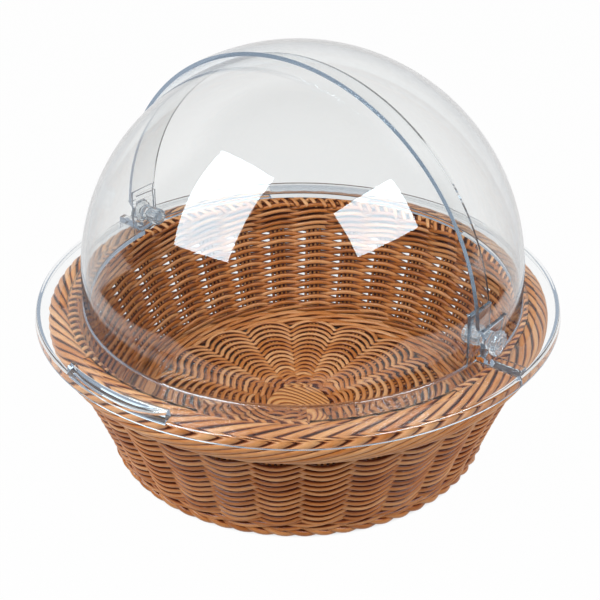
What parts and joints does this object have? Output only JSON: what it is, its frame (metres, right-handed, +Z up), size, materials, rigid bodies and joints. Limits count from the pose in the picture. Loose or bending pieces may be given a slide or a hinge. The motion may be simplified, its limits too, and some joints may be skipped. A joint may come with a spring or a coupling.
{
  "type": "display basket with roll-top dome cover",
  "caption": "Round woven basket for buffet display, under a clear two-part dome cover whose handled front half rolls up inside the back half; the whole cover lifts off.",
  "frame": {"origin": "middle of the basket's foot, on the surface that it stands on", "axes": "+Z up; -Y towards the front, where the handle is; X along the hinge line of the cover"},
  "size_m": [0.4, 0.4, 0.3093],
  "materials": {
    "clear_polycarbonate": "clear, injection moulded, polished",
    "woven_cane": "extruded plastic cane with a soft satin sheen, tan to orange brown",
    "grained_disc": "moulded with a wood-like grain"
  },
  "bodies": {
    "basket": {"basket_wall": "woven_cane", "basket_rim": "woven_cane", "basket_rim_band": "woven_cane", "basket_foot": "woven_cane", "basket_floor": "woven_cane", "floor_disc": "grained_disc"},
    "back_half": {"back_cover": "clear_polycarbonate", "hinge_pin_right": "clear_polycarbonate", "hinge_pin_left": "clear_polycarbonate", "hinge_nut_right": "clear_polycarbonate", "hinge_nut_left": "clear_polycarbonate"},
    "front_half": {"front_cover": "clear_polycarbonate"}
  },
  "joints": [
    {"name": "cover_lift", "type": "slide", "parent": "basket", "child": "back_half", "axis": [0, 0, 1], "range_m": [0, 0.25]},
    {"name": "front_roll", "type": "hinge", "parent": "back_half", "child": "front_half", "pos_m": [0, 0, 0.1363], "axis": [-1, 0, 0], "range_deg": [0, 77]}
  ]
}
